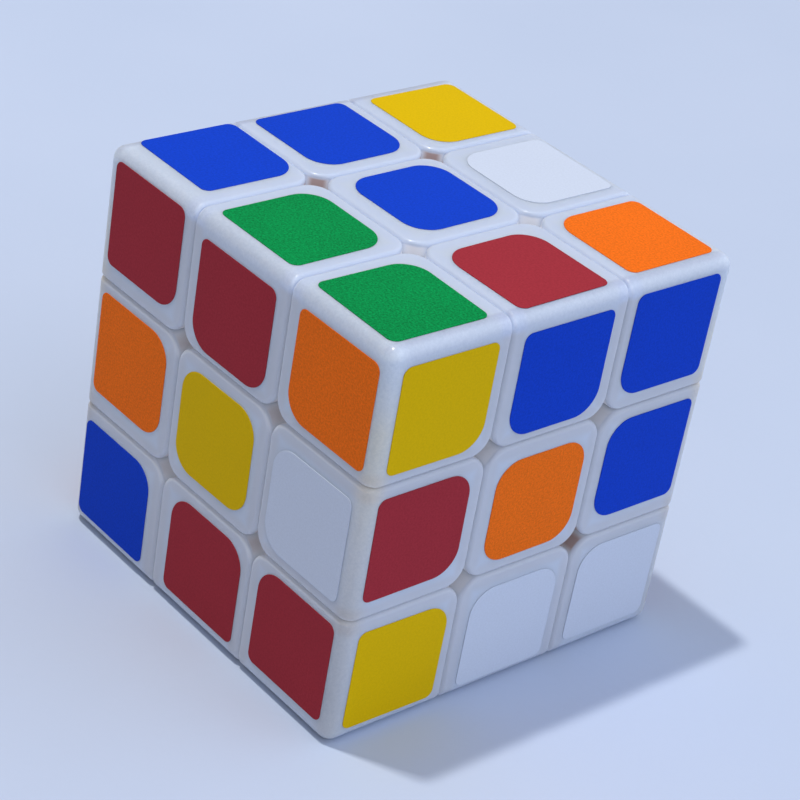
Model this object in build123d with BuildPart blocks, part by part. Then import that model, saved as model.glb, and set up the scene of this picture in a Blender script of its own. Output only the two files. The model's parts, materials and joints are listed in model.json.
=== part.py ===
from build123d import *
import os

# A 3 x 3 x 3 twisty puzzle cube. Six centres turn on the arms of a core, held by sprung screws.
# The edges hook under the centres and the corners hook under the edges.
# Origin at the middle of the core, +Z up, front -Y, right +X. One master of each kind of piece
# is made on the +X, +Y, +Z side and turned into its places.

os.makedirs("parts", exist_ok=True)

# Whole cube
cube_size = 56.0
cubie_pitch = 19.0                   # from one middle layer to the next
half = cube_size / 2
play = 0.1                           # each piece stands back this far from the plane it turns on
cut = cubie_pitch / 2 + play         # inner side of an outer layer
centre_half = cubie_pitch / 2 - play

# Cubie shells
wall = 1.4
cavity_round = 1.5
outer_round = 1.8                    # rounding of the whole cube's edges and corners
edge_round = 0.55                    # rounding along the grooves between cubies
junction_round = 3.0                 # upright corners where four cubies meet

# Inner mechanism: everything slides on spheres and on planes square to the axes
foot_cut = 6.6                       # inner side of the hooks
foot_half = foot_cut - 2 * play
foot_inner = 15.2
foot_outer = 19.9
body_inner = 20.1
split = 22.0                         # shell above, foot or hub below
split_gap = 0.05
spigot_top = 24.5

# Centre hub, screw, spring and washer, all on the arm's axis
stem_radius = 6.2
well_radius = 4.3
hub_base = 9.2
hub_floor = 11.2
hub_bore_radius = 1.8
shank_radius = 1.45
shank_tip = 3.4
head_radius = 2.9
head_base = 17.1
head_top = 18.9
recess_length = 3.4
recess_width = 0.8
recess_depth = 1.1
washer_radius = 3.6
washer_base = 11.3
washer_top = 11.8
spring_gap = 0.05
wire_radius = 0.35
coil_radius = 2.5
spring_turns = 4

# Core
core_radius = 6.6
arm_radius = 4.0
arm_top = 9.0
pilot_radius = 1.5
pilot_base = 3.0

# Places as (name, turn)
faces = [
    ("up", Rot(0, 0, 0)),
    ("down", Rot(180, 0, 0)),
    ("right", Rot(0, 90, 0)),
    ("left", Rot(0, -90, 0)),
    ("front", Rot(90, 0, 0)),
    ("back", Rot(-90, 0, 0)),
]
sides = ["back", "left", "front", "right"]
edges = []
corners = []
for k in range(4):
    turn = Rot(0, 0, 90 * k)
    edges.append((f"up_{sides[k]}", turn))
    edges.append((f"down_{sides[k]}", turn * Rot(0, 180, 0)))
    edges.append((f"{sides[k]}_{sides[k - 1]}", turn * Rot(0, 90, 0)))
    corners.append((f"up_{sides[k]}_{sides[k - 1]}", turn))
    corners.append((f"down_{sides[k - 1]}_{sides[k]}", turn * Rot(0, 90, 0)))


def junction_edges(builder):
    """The upright edges, one at each place where this cubie meets three others."""
    found = []
    for edge in builder.edges():
        mid = edge @ 0.5
        spans = sorted([abs(mid.X), abs(mid.Y), abs(mid.Z)])
        if centre_half - 0.01 < spans[0] and spans[1] < cut + 0.01 < spans[2]:
            found.append(edge)
    return found


def groove_rims(builder):
    """The edges where this cubie's sides meet the outside of the whole cube."""
    rims = []
    for edge in builder.edges():
        mid = edge @ 0.5
        spans = [abs(mid.X), abs(mid.Y), abs(mid.Z)]
        off_side = min(abs(span - cubie_pitch / 2) for span in spans)
        if off_side < junction_round / 2 and max(spans) > half - outer_round + 0.01:
            rims.append(edge)
    return rims


def box_between(low, high, radius):
    """A box given by two corners, with all its edges rounded."""
    with BuildPart() as block:
        with Locations(tuple(low)):
            Box(high[0] - low[0], high[1] - low[1], high[2] - low[2], align=Align.MIN)
        if radius > 0:
            fillet(block.edges(), radius=radius)
    return block.part


def spherical_block(low, high, inner, outer, radius=0):
    """The part of a box that lies between two spheres round the origin."""
    with BuildPart() as block:
        add(box_between(low, high, radius))
        Sphere(outer, mode=Mode.INTERSECT)
        Sphere(inner, mode=Mode.SUBTRACT)
    return block.part


def write(label, turn, part):
    """Turn a finished master into its place and write it out under its own name."""
    placed = turn * part
    placed.label = label
    export_step(placed, f"parts/{label}.step")


depth = half - cut
far = 2 * half
cavity_low = cut + wall
cavity_high = half - wall
cavity_side = centre_half - wall
spigot_low = cavity_low + split_gap
spigot_side = cavity_side - split_gap
spigot_round = cavity_round - split_gap

# The outside of the whole cube, which every shell is trimmed to
hull = box_between([-half] * 3, [half] * 3, outer_round)

# ---------------------------------------------------------------- corner: shell and foot
corner_hollow = box_between([cavity_low] * 3, [cavity_high] * 3, cavity_round)
with BuildPart() as corner_shell:
    with Locations((cut, cut, cut)):
        Box(depth, depth, depth, align=Align.MIN)
    fillet(junction_edges(corner_shell), radius=junction_round)
    add(hull, mode=Mode.INTERSECT)
    fillet(groove_rims(corner_shell), radius=edge_round)
    Sphere(split, mode=Mode.SUBTRACT)
    add(corner_hollow, mode=Mode.SUBTRACT)

with BuildPart() as corner_foot:
    add(spherical_block([foot_cut] * 3, [far] * 3, foot_inner, foot_outer))
    add(spherical_block([cut] * 3, [far] * 3, foot_outer - 1, split - split_gap))
    add(spherical_block([spigot_low] * 3, [far] * 3, split - 1, spigot_top, spigot_round))

# ---------------------------------------------------------------- edge: shell and foot
edge_hollow = box_between(
    (-cavity_side, cavity_low, cavity_low),
    (cavity_side, cavity_high, cavity_high),
    cavity_round,
)
with BuildPart() as edge_shell:
    with Locations((0, cut, cut)):
        Box(2 * centre_half, depth, depth, align=(Align.CENTER, Align.MIN, Align.MIN))
    fillet(junction_edges(edge_shell), radius=junction_round)
    add(hull, mode=Mode.INTERSECT)
    fillet(groove_rims(edge_shell), radius=edge_round)
    Sphere(split, mode=Mode.SUBTRACT)
    add(edge_hollow, mode=Mode.SUBTRACT)

hook = spherical_block((-foot_half, foot_cut, foot_cut), (foot_half, far, far), foot_inner, foot_outer)
neck = spherical_block((-foot_half, cut, cut), (foot_half, far, far), foot_outer - 1, body_inner + 1)
body = spherical_block((-centre_half, cut, cut), (centre_half, far, far), body_inner, split - split_gap)
spigot_corner = (-spigot_side, spigot_low, spigot_low)
spigot = spherical_block(spigot_corner, (spigot_side, far, far), split - 1, spigot_top, spigot_round)
with BuildPart() as edge_foot:
    add(hook)
    add(neck)
    add(body)
    add(spigot)

# ---------------------------------------------------------------- centre: cap and hub
centre_hollow = box_between(
    (-cavity_side, -cavity_side, cut), (cavity_side, cavity_side, cavity_high), cavity_round
)
with BuildPart() as centre_cap:
    with Locations((0, 0, cut)):
        Box(2 * centre_half, 2 * centre_half, depth, align=(Align.CENTER, Align.CENTER, Align.MIN))
    fillet(junction_edges(centre_cap), radius=junction_round)
    fillet(groove_rims(centre_cap), radius=edge_round)
    Sphere(split, mode=Mode.SUBTRACT)
    add(centre_hollow, mode=Mode.SUBTRACT)

flange = spherical_block(
    (-centre_half, -centre_half, cut), (centre_half, centre_half, far), body_inner, split - split_gap
)
plug_corner = (-spigot_side, -spigot_side, cut)
plug = spherical_block(plug_corner, (spigot_side, spigot_side, far), split - 1, spigot_top, spigot_round)
with BuildPart() as centre_hub:
    with BuildSketch(Plane.XY.offset(hub_base)):
        Circle(stem_radius)
    extrude(amount=body_inner + 1 - hub_base)
    add(flange)
    add(plug)
    with BuildSketch(Plane.XY.offset(hub_floor)):
        Circle(well_radius)
    extrude(amount=far, mode=Mode.SUBTRACT)
    with BuildSketch(Plane.XY.offset(hub_base)):
        Circle(hub_bore_radius)
    extrude(amount=hub_floor - hub_base, mode=Mode.SUBTRACT)

# ---------------------------------------------------------------- screw, spring and washer
with BuildPart() as screw:
    with BuildSketch(Plane.XZ):
        with BuildLine():
            Polyline(
                (0, shank_tip),
                (shank_radius / 2, shank_tip),
                (shank_radius, shank_tip + shank_radius),
                (shank_radius, head_base),
                (head_radius, head_base),
                (head_radius, head_top),
                (0, head_top),
                close=True,
            )
        make_face()
    revolve(axis=Axis.Z)
    fillet(screw.edges().filter_by(GeomType.CIRCLE).sort_by(Axis.Z)[-1], radius=0.5)
    with BuildSketch(Plane.XY.offset(head_top)):
        Rectangle(recess_length, recess_width)
        Rectangle(recess_width, recess_length)
    extrude(amount=-recess_depth, mode=Mode.SUBTRACT)

with BuildPart() as washer:
    with BuildSketch(Plane.XY.offset(washer_base)):
        Circle(washer_radius)
        Circle(hub_bore_radius, mode=Mode.SUBTRACT)
    extrude(amount=washer_top - washer_base)

spring_low = washer_top + spring_gap + wire_radius
spring_high = head_base - spring_gap - wire_radius
spring_rise = spring_high - spring_low
with BuildPart() as spring:
    with BuildLine(Plane.XY.offset(spring_low)) as coil:
        Helix(spring_rise / spring_turns, spring_rise, coil_radius)
    with BuildSketch(Plane(origin=coil.line @ 0, z_dir=coil.line % 0)):
        Circle(wire_radius)
    sweep(is_frenet=True)

# ---------------------------------------------------------------- core
with BuildPart() as core:
    Sphere(core_radius)
    for name, turn in faces:
        with BuildSketch(Plane(turn)):
            Circle(arm_radius)
        extrude(amount=arm_top)
    for name, turn in faces:
        with BuildSketch(Plane(turn).offset(pilot_base)):
            Circle(pilot_radius)
        extrude(amount=arm_top, mode=Mode.SUBTRACT)

with BuildPart() as tension_screws:
    for name, turn in faces:
        add(turn * screw.part)
with BuildPart() as tension_springs:
    for name, turn in faces:
        add(turn * spring.part)
with BuildPart() as spring_washers:
    for name, turn in faces:
        add(turn * washer.part)

# ---------------------------------------------------------------- write every piece in its place
here = Rot(0, 0, 0)
write("core", here, core.part)
write("tension_screws", here, tension_screws.part)
write("tension_springs", here, tension_springs.part)
write("spring_washers", here, spring_washers.part)
for name, turn in faces:
    write(f"centre_cap_{name}", turn, centre_cap.part)
    write(f"centre_hub_{name}", turn, centre_hub.part)
for name, turn in edges:
    write(f"edge_shell_{name}", turn, edge_shell.part)
    write(f"edge_foot_{name}", turn, edge_foot.part)
for name, turn in corners:
    write(f"corner_shell_{name}", turn, corner_shell.part)
    write(f"corner_foot_{name}", turn, corner_foot.part)
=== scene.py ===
import bpy
import bmesh
import json
import math
import random
from mathutils import Matrix, Vector

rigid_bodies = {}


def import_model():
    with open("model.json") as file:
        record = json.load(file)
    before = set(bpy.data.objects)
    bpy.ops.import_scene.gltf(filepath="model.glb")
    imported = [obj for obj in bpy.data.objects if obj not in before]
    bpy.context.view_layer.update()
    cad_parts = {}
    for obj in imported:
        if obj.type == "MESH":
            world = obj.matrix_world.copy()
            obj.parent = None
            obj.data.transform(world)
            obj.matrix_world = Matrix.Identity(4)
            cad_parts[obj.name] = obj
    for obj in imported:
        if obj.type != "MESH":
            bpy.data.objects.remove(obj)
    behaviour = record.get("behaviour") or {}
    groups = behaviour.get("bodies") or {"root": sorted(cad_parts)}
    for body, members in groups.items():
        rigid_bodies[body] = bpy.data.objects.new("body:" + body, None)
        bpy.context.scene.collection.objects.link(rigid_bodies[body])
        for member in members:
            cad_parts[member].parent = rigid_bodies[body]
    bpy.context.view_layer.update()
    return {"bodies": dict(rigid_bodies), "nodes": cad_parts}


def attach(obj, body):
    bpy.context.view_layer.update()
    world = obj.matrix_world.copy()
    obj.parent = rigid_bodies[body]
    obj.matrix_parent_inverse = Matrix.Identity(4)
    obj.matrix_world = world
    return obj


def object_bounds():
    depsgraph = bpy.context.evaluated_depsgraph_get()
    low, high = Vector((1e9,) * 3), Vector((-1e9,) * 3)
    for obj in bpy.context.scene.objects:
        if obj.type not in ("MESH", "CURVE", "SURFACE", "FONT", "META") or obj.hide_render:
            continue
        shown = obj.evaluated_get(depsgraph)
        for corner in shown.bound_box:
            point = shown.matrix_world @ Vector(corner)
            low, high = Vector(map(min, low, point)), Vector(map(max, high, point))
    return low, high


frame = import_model()

MM = 0.001
WHITE = (1.0, 1.0, 1.0)
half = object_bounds()[1].z             # the cube is centred on the origin
pitch = 19 * MM                     # from one middle layer to the next
scene = bpy.context.scene
scene.view_settings.view_transform = "Standard"


# ------------------------------------------------------------------ node helpers
def node_maker(tree):
    """A maker of wired nodes: an input that is given another node's socket is linked to it."""
    def make(kind, inputs=None, **settings):
        node = tree.nodes.new(kind)
        for key, value in settings.items():
            setattr(node, key, value)
        for key, value in (inputs or {}).items():
            if isinstance(value, bpy.types.NodeSocket):
                tree.links.new(value, node.inputs[key])
            else:
                node.inputs[key].default_value = value
        return node

    return make


def new_material(name):
    """A material with a Principled surface, its node maker, and a link into the surface."""
    material = bpy.data.materials.new(name)
    material.use_nodes = True
    tree = material.node_tree
    shader = tree.nodes["Principled BSDF"]

    def link(output, socket):
        tree.links.new(output, shader.inputs[socket])

    return material, shader, node_maker(tree), link


def ramp(make, factor, stops):
    """A colour ramp through (position, rgb) stops."""
    node = make("ShaderNodeValToRGB", {"Fac": factor})
    elements = node.color_ramp.elements
    while len(elements) < len(stops):
        elements.new(0.5)
    for element, (position, colour) in zip(elements, stops):
        element.position = position
        element.color = (*colour, 1)
    return node.outputs["Color"]


def grain(make, place, scale, detail=2.0, roughness=0.5):
    """Noise that is `scale` features per metre."""
    node = make("ShaderNodeTexNoise", {"Vector": place, "Scale": scale, "Detail": detail,
                                       "Roughness": roughness})
    return node.outputs["Fac"]


def fade(make, value, start, end):
    """Rises smoothly from 0 at `start` to 1 at `end`."""
    node = make("ShaderNodeMapRange", {"Value": value, "From Min": start, "From Max": end},
                interpolation_type="SMOOTHSTEP")
    return node.outputs["Result"]


def spread(make, value, low, high):
    """Runs evenly from `low` at value 0 to `high` at value 1."""
    return make("ShaderNodeMapRange", {"Value": value, "To Min": low, "To Max": high}).outputs["Result"]


def combine(make, operation, *values):
    """The same arithmetic step taken through all the values."""
    result = values[0]
    for value in values[1:]:
        result = make("ShaderNodeMath", {0: result, 1: value}, operation=operation).outputs["Value"]
    return result


def absolute(make, value):
    return make("ShaderNodeMath", {0: value}, operation="ABSOLUTE").outputs["Value"]


def blend_colours(make, share, first, second):
    """From the first colour at share 0 to the second at share 1."""
    node = make("ShaderNodeMix", {"Factor": share}, data_type="RGBA", clamp_factor=True)
    # Inputs 6 and 7 and output 2 are the node's colour sockets.
    for socket, colour in ((node.inputs[6], first), (node.inputs[7], second)):
        if isinstance(colour, bpy.types.NodeSocket):
            node.id_data.links.new(colour, socket)
        else:
            socket.default_value = (*colour, 1)
    return node.outputs[2]


def tinted(make, colour, tint, share=None):
    """A colour multiplied by a tint, or by as much of the tint as `share` says."""
    if share is not None:
        tint = blend_colours(make, share, WHITE, tint)
    node = make("ShaderNodeVectorMath", {0: colour, 1: tint}, operation="MULTIPLY")
    return node.outputs["Vector"]


def shade(colour, factor):
    return [c * factor for c in colour]


def relief(make, height, strength, distance):
    """A bump that stands up to `distance` high."""
    node = make("ShaderNodeBump", {"Height": height, "Strength": strength, "Distance": distance})
    return node.outputs["Normal"]


# ------------------------------------------------------------------ plastics
def milky_base(make, place, tint):
    """Cloudy inside and finely frosted on the skin: a colour, a roughness and a relief."""
    cloud = grain(make, place, CLOUD_SCALE, 4, 0.6)
    colour = ramp(make, cloud, [(0.3, shade(tint, 0.965)), (0.7, tint)])
    frost = grain(make, place, FROST_SCALE, 3, 0.6)
    rough = spread(make, frost, 0.30, 0.46)
    swell = grain(make, place, SWELL_SCALE)
    height = combine(make, "ADD", swell, frost)
    return colour, rough, relief(make, height, 0.10, 0.1 * MM)


def plain_plastic(name, tint):
    """The satin mouldings inside the cube, with a painted glow standing in for the dim light that
    reaches them through its shells.
    """
    material, shader, make, link = new_material(name)
    place = make("ShaderNodeTexCoord").outputs["Object"]
    colour, rough, normal = milky_base(make, place, tint)
    link(colour, "Base Color")
    link(rough, "Roughness")
    link(normal, "Normal")
    shader.inputs["Subsurface Weight"].default_value = 0.3
    shader.inputs["Subsurface Scale"].default_value = 1.5 * MM
    shader.inputs["IOR"].default_value = PLASTIC_IOR
    # Painted glow: emission in the moulding's own tint.
    shader.inputs["Emission Color"].default_value = (*tint, 1)
    shader.inputs["Emission Strength"].default_value = 0.25
    material.cycles.emission_sampling = "NONE"
    return material


def hole_browning(make, place, at_heart):
    """How much browner the holes are: a little everywhere deep in them, and more round the places
    listed below.
    """
    browning = combine(make, "MULTIPLY", grain(make, place, PATCH_SCALE), 0.35)
    for spot, reach, amount in BROWNER_HOLE_PLACES:
        off_spot = make("ShaderNodeVectorMath", {0: place, 1: spot}, operation="DISTANCE")
        patch = fade(make, off_spot.outputs["Value"], reach, reach * 0.8)
        browning = combine(make, "ADD", browning, combine(make, "MULTIPLY", patch, amount))
    return combine(make, "MULTIPLY", browning, at_heart)


def frosted_and_shaded_colour(make, place, colour, coords, spans, furthest, nearest, on_top):
    """The shell's colour with its frosting and a warmer tint on the upright edges, and with painted
    light and shade along the upright edges, beside the grooves and beside the stickers at the top.
    """
    # The upright edges are tinted warmer, with painted shade towards the bottom and a painted highlight
    # at the top, and all the outside edges of the cube are frosted.
    along_upright = combine(make, "MINIMUM", spans[0], spans[1])
    near_upright_edge = fade(make, along_upright, half - 3.6 * MM, half - 0.6 * MM)
    risen = fade(make, coords[2], -half, half)
    upright_tint_and_light = blend_colours(make, near_upright_edge, WHITE, ramp(make, risen, UPRIGHT_EDGE_TONES))
    lowest = combine(make, "MINIMUM", *spans)
    total = combine(make, "ADD", *spans)
    second = combine(make, "SUBTRACT", total, combine(make, "ADD", furthest, lowest))
    frosted = fade(make, second, half - 3.2 * MM, half - 1.2 * MM)
    scuff = ramp(make, grain(make, place, FROST_SCALE, 3, 0.7), SCUFF_TONES)
    colour = tinted(make, colour, tinted(make, upright_tint_and_light, scuff, frosted))

    # Painted shade beside the grooves, darker and warmer on the sides and a little bluer on the top,
    # stands in for light lost into the grooves.
    beside_groove = fade(make, nearest, 2.6 * MM, 1.2 * MM)
    groove_shade = blend_colours(make, on_top, BESIDE_GROOVE_ON_SIDES, BESIDE_GROOVE_ON_TOP)
    colour = tinted(make, colour, groove_shade, beside_groove)

    # Painted shade in a band between the outer sides of the stickers on the right and left of the top
    # and the cube's edges.
    past_sticker = fade(make, spans[0], half - 2.4 * MM, half - 1.7 * MM)
    before_edge = fade(make, spans[0], half - 0.5 * MM, half - 1.3 * MM)
    facing_up = fade(make, coords[2], half - 1.2 * MM, half - 0.2 * MM)
    painted_edge_shade = combine(make, "MULTIPLY", past_sticker, before_edge, facing_up)
    return tinted(make, colour, EDGE_BAND_SHADE, painted_edge_shade)


def translucent_shell(name, tint, glow, pale_hole, brown_hole):
    """The milky outer moulding. A painted glow in its grooves stands in for light that has spread
    through it, and the small holes where four cubies meet have painted shade on their walls, a painted
    glow, and a browner tone, most of all round the places listed below."""
    material, shader, make, link = new_material(name)
    place = make("ShaderNodeTexCoord").outputs["Object"]
    colour, rough, normal = milky_base(make, place, tint)
    coords = make("ShaderNodeSeparateXYZ", {0: place}).outputs
    spans = [absolute(make, coord) for coord in coords]
    offs = [absolute(make, combine(make, "SUBTRACT", span, pitch / 2)) for span in spans]
    furthest = combine(make, "MAXIMUM", *spans)
    depth = combine(make, "SUBTRACT", half, furthest)

    # The smallest distance off a groove's plane is small in a groove, and the two smallest are
    # small together only at a hole.
    nearest = combine(make, "MINIMUM", *offs)
    largest = combine(make, "MAXIMUM", *offs)
    two_nearest = combine(make, "SUBTRACT", combine(make, "ADD", *offs), largest)
    in_groove = combine(make, "MULTIPLY", fade(make, nearest, GROOVE_REACH, 0.15 * MM),
                        fade(make, depth, 0.02 * MM, 0.5 * MM))
    in_hole = combine(make, "MULTIPLY", fade(make, two_nearest, 3.0 * MM, 2.0 * MM),
                      fade(make, depth, 0.35 * MM, 0.8 * MM))
    at_heart = combine(make, "MULTIPLY", fade(make, two_nearest, 2.6 * MM, 1.9 * MM),
                       fade(make, depth, 0.3 * MM, 0.8 * MM))
    shallow = fade(make, depth, 5.0 * MM, 2.0 * MM)
    on_top = fade(make, coords[2], half - 2.5 * MM, half - 1.5 * MM)

    browning = hole_browning(make, place, at_heart)
    inside = blend_colours(make, browning, pale_hole, brown_hole)
    # Painted shade on the hole walls: their tones darkened to about two thirds.
    walls = blend_colours(make, browning, shade(pale_hole, 0.66), shade(brown_hole, 0.70))
    colour = frosted_and_shaded_colour(make, place, colour, coords, spans, furthest, nearest, on_top)
    link(blend_colours(make, in_hole, colour, walls), "Base Color")
    # Painted glow in the grooves and holes, stronger on the top than on the sides, stands in for light
    # spread through the plastic.
    link(blend_colours(make, in_hole, glow, inside), "Emission Color")
    levels = []
    for share, side_level, top_level in ((in_groove, *GROOVE_GLOW), (in_hole, *HOLE_GLOW)):
        levels.append(combine(make, "MULTIPLY", share, spread(make, on_top, side_level, top_level)))
    strength = combine(make, "MAXIMUM", *levels)
    link(combine(make, "MULTIPLY", strength, shallow), "Emission Strength")
    link(rough, "Roughness")
    link(normal, "Normal")
    shader.inputs["Subsurface Weight"].default_value = 0.6
    shader.inputs["Subsurface Radius"].default_value = (1.0, 0.9, 0.85)
    shader.inputs["Subsurface Scale"].default_value = 3.0 * MM
    shader.inputs["IOR"].default_value = PLASTIC_IOR
    shader.inputs["Coat Weight"].default_value = 0.35
    shader.inputs["Coat Roughness"].default_value = 0.10
    material.cycles.emission_sampling = "NONE"
    return material


def sticker_vinyl(name, colour, speckling):
    """Printed vinyl: even ink with a fine speckle, and a soft orange-peel gloss."""
    material, shader, make, link = new_material(name)
    place = make("ShaderNodeTexCoord").outputs["Object"]
    speckle = grain(make, place, SPECKLE_SCALE, 2, 0.7)
    patch = grain(make, place, PATCH_SCALE, 3)
    mottle = combine(make, "ADD", combine(make, "MULTIPLY", speckle, 1 - PATCH_SHARE),
                     combine(make, "MULTIPLY", patch, PATCH_SHARE))
    light = [min(1.0, c) for c in shade(colour, 1 + speckling)]
    link(ramp(make, mottle, [(0.35, shade(colour, 1 - speckling)), (0.65, light)]), "Base Color")
    link(spread(make, patch, 0.44, 0.54), "Roughness")
    link(relief(make, speckle, 0.08, 0.04 * MM), "Normal")
    shader.inputs["Specular IOR Level"].default_value = 0.03
    return material


def turned_metal(name, colour, rough_low, rough_high):
    """Plated steel with fine drawing marks."""
    material, shader, make, link = new_material(name)
    place = make("ShaderNodeTexCoord").outputs["Object"]
    marks = grain(make, place, DRAWING_SCALE, 3)
    link(ramp(make, marks, [(0.3, shade(colour, 0.8)), (0.7, colour)]), "Base Color")
    link(spread(make, marks, rough_low, rough_high), "Roughness")
    link(relief(make, marks, 0.1, 0.02 * MM), "Normal")
    shader.inputs["Metallic"].default_value = 1.0
    return material


# Noise scales, in features per metre
CLOUD_SCALE = 90
PATCH_SCALE = 120
SWELL_SCALE = 260
FROST_SCALE = 2600
SPECKLE_SCALE = 3600
DRAWING_SCALE = 2200
PATCH_SHARE = 0.12                  # of the ink's mottling, the rest being fine speckle

PLASTIC_IOR = 1.49
GROOVE_REACH = 0.8 * MM             # from the middle of a groove to the end of its rounding
# Strengths of the painted glow in the grooves and in the holes
GROOVE_GLOW = (0.08, 0.14)          # on the sides and on the top
HOLE_GLOW = (0.17, 0.46)
# Factors on the shell's colour: a warmer tint, frosting, and painted light and shade
# Tints along the upright edges: warmer, with painted shade towards the bottom and a painted highlight
# at the top
UPRIGHT_EDGE_TONES = [              # from the bottom of the cube to the top
    (0.05, (0.88, 0.82, 0.74)),
    (0.5, (1.05, 0.965, 0.845)),
    (0.9, (1.20, 1.06, 0.81)),
    (1.0, (1.14, 1.14, 1.11)),
]
SCUFF_TONES = [(0.35, (0.945, 0.955, 0.965)), (0.65, (1.06, 1.05, 1.04))]
BESIDE_GROOVE_ON_SIDES = (0.96, 0.91, 0.87)
BESIDE_GROOVE_ON_TOP = (0.98, 0.99, 1.04)
EDGE_BAND_SHADE = (0.82, 0.82, 0.86)
# Places where the holes are browner, as (middle, reach, amount)
BROWNER_HOLE_PLACES = [
    ((-pitch / 2, 0, half), 13 * MM, 1.0),
    ((half, pitch / 2, -pitch / 2), 6 * MM, 1.0),
    ((0, -half, 0), 16 * MM, 0.35),
]
shell_plastic = translucent_shell(
    "shell_plastic",
    tint=(0.56, 0.622, 0.735),
    glow=(0.66, 0.72, 0.84),
    pale_hole=(0.80, 0.84, 0.93),
    brown_hole=(0.41, 0.31, 0.31),
)
inner_plastic = plain_plastic("inner_plastic", (0.42, 0.37, 0.34))
core_plastic = plain_plastic("core_plastic", (0.50, 0.50, 0.52))
screw_metal = turned_metal("screw_metal", (0.62, 0.62, 0.64), 0.22, 0.38)
spring_metal = turned_metal("spring_metal", (0.50, 0.50, 0.52), 0.28, 0.45)

for name, node in frame["nodes"].items():
    if name.startswith(("centre_cap", "edge_shell", "corner_shell")):
        finish = shell_plastic
    elif name.startswith(("centre_hub", "edge_foot", "corner_foot")):
        finish = inner_plastic
    elif name == "core":
        finish = core_plastic
    elif name == "tension_screws":
        finish = screw_metal
    else:
        finish = spring_metal
    node.data.materials.clear()
    node.data.materials.append(finish)

# ------------------------------------------------------------------ stickers
# Each face as seen from outside: its normal, its rightward and its upward direction, and its nine
# colours, top row first. The front, right and up faces are as on the real one, and the other three
# complete a state that a real cube can reach.
FACES = {
    "front": ((0, -1, 0), (1, 0, 0), (0, 0, 1), "RRO OYW BRR"),
    "right": ((1, 0, 0), (0, 1, 0), (0, 0, 1), "YBB ROB YWW"),
    "up": ((0, 0, 1), (1, 0, 0), (0, 1, 0), "YWO BBR BGG"),
    "back": ((0, 1, 0), (-1, 0, 0), (0, 0, 1), "YGB YWO RYO"),
    "left": ((-1, 0, 0), (0, -1, 0), (0, 0, 1), "ROW YRG WWO"),
    "down": ((0, 0, -1), (1, 0, 0), (0, -1, 0), "WYG BGO GGG"),
}
INKS = {
    "W": ("white", (0.597, 0.652, 0.768), 0.03),
    "Y": ("yellow", (0.71, 0.46, 0.001), 0.05),
    "B": ("blue", (0.005, 0.050, 0.53), 0.12),
    "G": ("green", (0.001, 0.25, 0.060), 0.36),
    "O": ("orange", (0.88, 0.160, 0.009), 0.14),
    "R": ("red", (0.345, 0.029, 0.042), 0.11),
}
STICKER_THICK = 0.08 * MM
STICKER_MARGIN = 2.13 * MM          # from the cubie's own sides
OUTER_EDGE_MARGIN = 1.82 * MM       # from the outside edges of the whole cube
JUNCTION_ROUND = 3.57 * MM          # corners that face a place where four cubies meet
OUTER_ROUND = 1.15 * MM
ARC_STEPS = 14
# The film's edge in section, as (inset, rise) in thicknesses
STICKER_RIM = [(0.0, 0.0), (0.0, 0.6), (0.3, 0.92), (0.8, 1.0), (2.5, 1.0)]
SLIP_SPREAD = 0.25                  # mm
TURN_SPREAD = 0.35                  # degrees
# How far from its place each sticker was laid by hand, in mm to the right and up, top row first.
HAND_LAID = {
    "front": [(0.3, 0.5), (-0.1, -1.1), (0.1, -0.6), (0.1, 0.6), (-0.4, 0.0), (-0.6, -0.5),
              (-0.4, 0.0), (0.6, 0.3), (0.0, 0.8)],
    "right": [(0.2, -0.6), (0.0, -0.8), (-0.6, 0.0), (0.0, 0.5), (0.2, -0.3), (-0.2, 0.5),
              (0.5, 0.0), (0.1, -0.3), (-0.3, 0.2)],
    "up": [(0.6, 0.0), (0.0, 0.0), (-0.3, -0.2), (-0.1, 0.3), (-0.2, 0.6), (0.4, -0.3),
           (-0.5, 1.5), (0.0, 0.0), (0.0, -0.3)],
}

inks = {}
for key, (word, colour, speckling) in INKS.items():
    inks[key] = sticker_vinyl("vinyl_" + word, colour, speckling)
random.seed(12)


def cubie_bodies():
    """The CAD bodies by the set of faces that they show."""
    found = {}
    for body in frame["bodies"]:
        words = frozenset(word for word in body.split("_") if word in FACES)
        if words:
            found[words] = body
    return found


def rounded_outline(spans, rounds):
    """Corner by corner round a box (left, right, bottom, top), with an arc of its own at each."""
    left, right, bottom, top = spans
    corners = [(right, top, 0), (left, top, 90), (left, bottom, 180), (right, bottom, 270)]
    points = []
    for (x, y, start), radius in zip(corners, rounds):
        centre_x = x - radius if x == right else x + radius
        centre_y = y - radius if y == top else y + radius
        for step in range(ARC_STEPS + 1):
            angle = math.radians(start + 90 * step / ARC_STEPS)
            points.append((centre_x + radius * math.cos(angle), centre_y + radius * math.sin(angle)))
    return points


def make_sticker(name, outline, place):
    """A thin film with a softly rolled rim, lying on the plane that `place` gives."""
    mesh = bpy.data.meshes.new(name)
    shape = bmesh.new()
    middle = Vector((sum(p[0] for p in outline), sum(p[1] for p in outline))) / len(outline)
    loops = []
    for inset, rise in STICKER_RIM:
        loop = []
        for x, y in outline:
            toward = (middle - Vector((x, y))).normalized() * inset * STICKER_THICK
            loop.append(shape.verts.new((x + toward.x, y + toward.y, rise * STICKER_THICK)))
        loops.append(loop)
    count = len(outline)
    for lower, upper in zip(loops, loops[1:]):
        for i in range(count):
            j = (i + 1) % count
            shape.faces.new((lower[i], lower[j], upper[j], upper[i]))
    shape.faces.new(loops[-1])
    shape.faces.new(list(reversed(loops[0])))
    for face in shape.faces:
        face.smooth = True
    shape.to_mesh(mesh)
    shape.free()
    mesh.transform(place)
    sticker = bpy.data.objects.new(name, mesh)
    scene.collection.objects.link(sticker)
    return sticker


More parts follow.
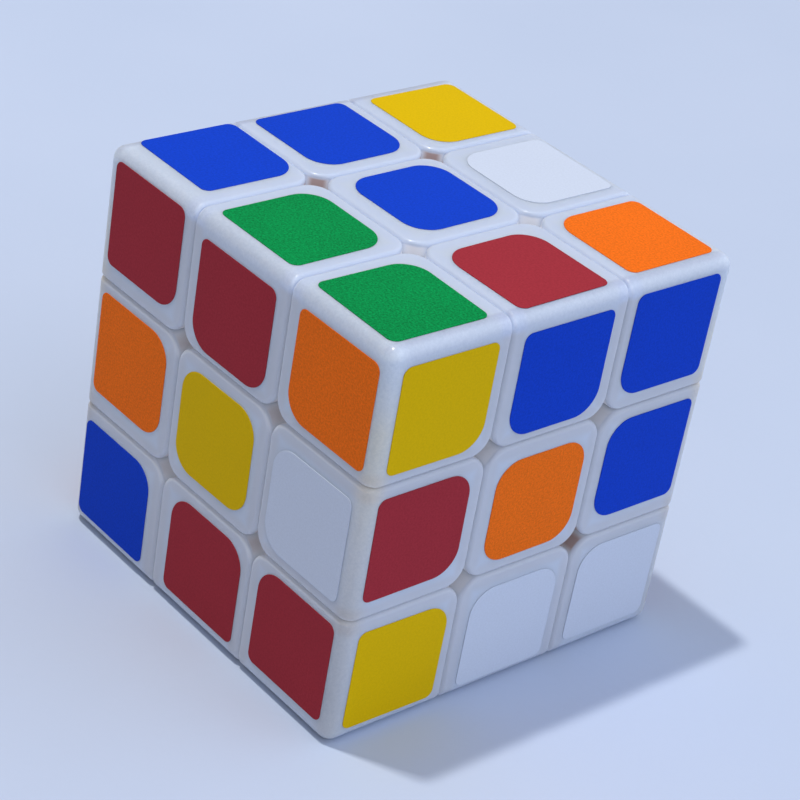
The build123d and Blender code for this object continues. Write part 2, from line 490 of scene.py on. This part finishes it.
bodies = cubie_bodies()
words_by_direction = {normal: word for word, (normal, _, _, _) in FACES.items()}
for word, (normal, across, upward, colours) in FACES.items():
    normal, across, upward = Vector(normal), Vector(across), Vector(upward)
    for row, letters in enumerate(colours.split()):
        for column, letter in enumerate(letters):
            step_x, step_y = column - 1, 1 - row
            shown = {word}
            for direction, step in ((across, step_x), (upward, step_y)):
                if step:
                    shown.add(words_by_direction[tuple(int(c) for c in direction * step)])
            spans = []
            for step, sign in ((step_x, -1), (step_x, 1), (step_y, -1), (step_y, 1)):
                if step == sign:
                    spans.append(sign * (half - OUTER_EDGE_MARGIN))
                else:
                    spans.append(step * pitch + sign * (pitch / 2 - STICKER_MARGIN))
            rounds = []
            for sign_x, sign_y in ((1, 1), (-1, 1), (-1, -1), (1, -1)):
                at_junction = step_x != sign_x and step_y != sign_y
                rounds.append(JUNCTION_ROUND if at_junction else OUTER_ROUND)
            centre = Vector(((spans[0] + spans[1]) / 2, (spans[2] + spans[3]) / 2, 0))
            slip_x, slip_y = random.gauss(0, SLIP_SPREAD), random.gauss(0, SLIP_SPREAD)
            if word in HAND_LAID:
                slip_x, slip_y = HAND_LAID[word][3 * row + column]
            slip = Vector((slip_x, slip_y, 0)) * MM
            turn = math.radians(random.gauss(0, TURN_SPREAD))
            hand_laid = (
                Matrix.Translation(centre + slip)
                @ Matrix.Rotation(turn, 4, "Z")
                @ Matrix.Translation(-centre)
            )
            axes = Matrix((across, upward, normal)).transposed().to_4x4()
            place = axes @ Matrix.Translation((0, 0, half)) @ hand_laid
            title = INKS[letter][0]
            name = f"sticker_{word}_{row + 1}{column + 1}_{title}"
            sticker = make_sticker(name, rounded_outline(spans, rounds), place)
            sticker.data.materials.append(inks[letter])
            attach(sticker, bodies[frozenset(shown)])

# ------------------------------------------------------------------ floor
FLOOR_GAP = 0.02 * MM               # keeps the floor clear of the lowest stickers
bpy.ops.mesh.primitive_plane_add(size=4.0, location=(0, 0, -half - STICKER_THICK - FLOOR_GAP))
floor = bpy.context.object
floor.name = "floor"
paper, shader, make, link = new_material("pale_floor")
place = make("ShaderNodeTexCoord").outputs["Object"]
drift = grain(make, place, 14, 3)
fibre = grain(make, place, 900, 4)
link(ramp(make, drift, [(0.3, (0.525, 0.60, 0.752)), (0.7, (0.55, 0.622, 0.772))]), "Base Color")
link(relief(make, fibre, 0.15, 0.2 * MM), "Normal")
shader.inputs["Roughness"].default_value = 0.8
floor.data.materials.append(paper)

# ------------------------------------------------------------------ light
# The room is brighter and bluer on the side of a window beyond the right face, and dimmer and
# warmer on the side of the front face.
WINDOW_DIRECTION = Vector((0.9, 0.6, 0.25)).normalized()
ROOM_TONES = [                      # from opposite the window to the window
    (0.0, (0.17, 0.12, 0.075)),
    (0.5, (0.40, 0.385, 0.36)),
    (1.0, (0.90, 0.95, 1.06)),
]
OVERHEAD_TINT = (1.14, 1.25, 1.46)
BACKDROP_TONE = (0.52, 0.60, 0.78)

world = bpy.data.worlds.new("soft_room")
scene.world = world
world.use_nodes = True
sky = world.node_tree
make = node_maker(sky)
towards = make("ShaderNodeTexCoord").outputs["Generated"]
facing_window = make("ShaderNodeVectorMath", {0: towards, 1: WINDOW_DIRECTION}, operation="DOT_PRODUCT")
share = make("ShaderNodeMapRange", {"Value": facing_window.outputs["Value"], "From Min": -1.0})
room = ramp(make, share.outputs["Result"], ROOM_TONES)
heights = make("ShaderNodeSeparateXYZ", {0: towards}).outputs
overhead = ramp(make, heights["Z"], [(0.0, WHITE), (1.0, OVERHEAD_TINT)])
background = sky.nodes["Background"]
background.inputs["Strength"].default_value = 1.0
sky.links.new(tinted(make, room, overhead), background.inputs["Color"])
# Seen directly, the room is a plain backdrop in the floor's tone.
backdrop = make("ShaderNodeBackground", {"Color": (*BACKDROP_TONE, 1)})
seen = make("ShaderNodeLightPath").outputs["Is Camera Ray"]
either = make("ShaderNodeMixShader", {0: seen, 1: background.outputs[0], 2: backdrop.outputs[0]})
sky.links.new(either.outputs["Shader"], sky.nodes["World Output"].inputs["Surface"])


def area_light(name, direction, distance, size, power, colour):
    """A square lamp `distance` metres out along `direction`, facing the cube."""
    data = bpy.data.lights.new(name, "AREA")
    data.size = size
    data.energy = power
    data.color = colour
    lamp = bpy.data.objects.new(name, data)
    scene.collection.objects.link(lamp)
    toward = Vector(direction).normalized()
    lamp.location = toward * distance
    lamp.rotation_euler = (-toward).to_track_quat("-Z", "Y").to_euler()
    return lamp


area_light(
    "ceiling_light",
    direction=(-10.0, -7.7, 57),
    distance=1.2,
    size=0.045,
    power=7.35,
    colour=(0.99, 0.975, 0.94),
)

# ------------------------------------------------------------------ camera
AZIMUTH, ELEVATION = math.radians(45.37), math.radians(30.55)
DISTANCE = 316.7 * MM
AIM_TURN, AIM_DIP = math.radians(45.06), math.radians(30.73)
ROLL = math.radians(10.17)
camera_data = bpy.data.cameras.new("camera")
camera_data.lens = 109.9
camera_data.sensor_width = 36.0
camera = bpy.data.objects.new("camera", camera_data)
scene.collection.objects.link(camera)
scene.camera = camera


def direction(azimuth, elevation):
    """Unit vector towards an azimuth and elevation, azimuth 0 being out of the front face."""
    level = math.cos(elevation)
    return Vector((math.sin(azimuth) * level, -math.cos(azimuth) * level, math.sin(elevation)))


back = direction(AIM_TURN, AIM_DIP)
level_right = Vector((0, 0, 1)).cross(back).normalized()
level_up = back.cross(level_right)
right = level_right * math.cos(ROLL) + level_up * math.sin(ROLL)
up = back.cross(right)
camera.matrix_world = (
    Matrix.Translation(direction(AZIMUTH, ELEVATION) * DISTANCE)
    @ Matrix((right, up, back)).transposed().to_4x4()
)
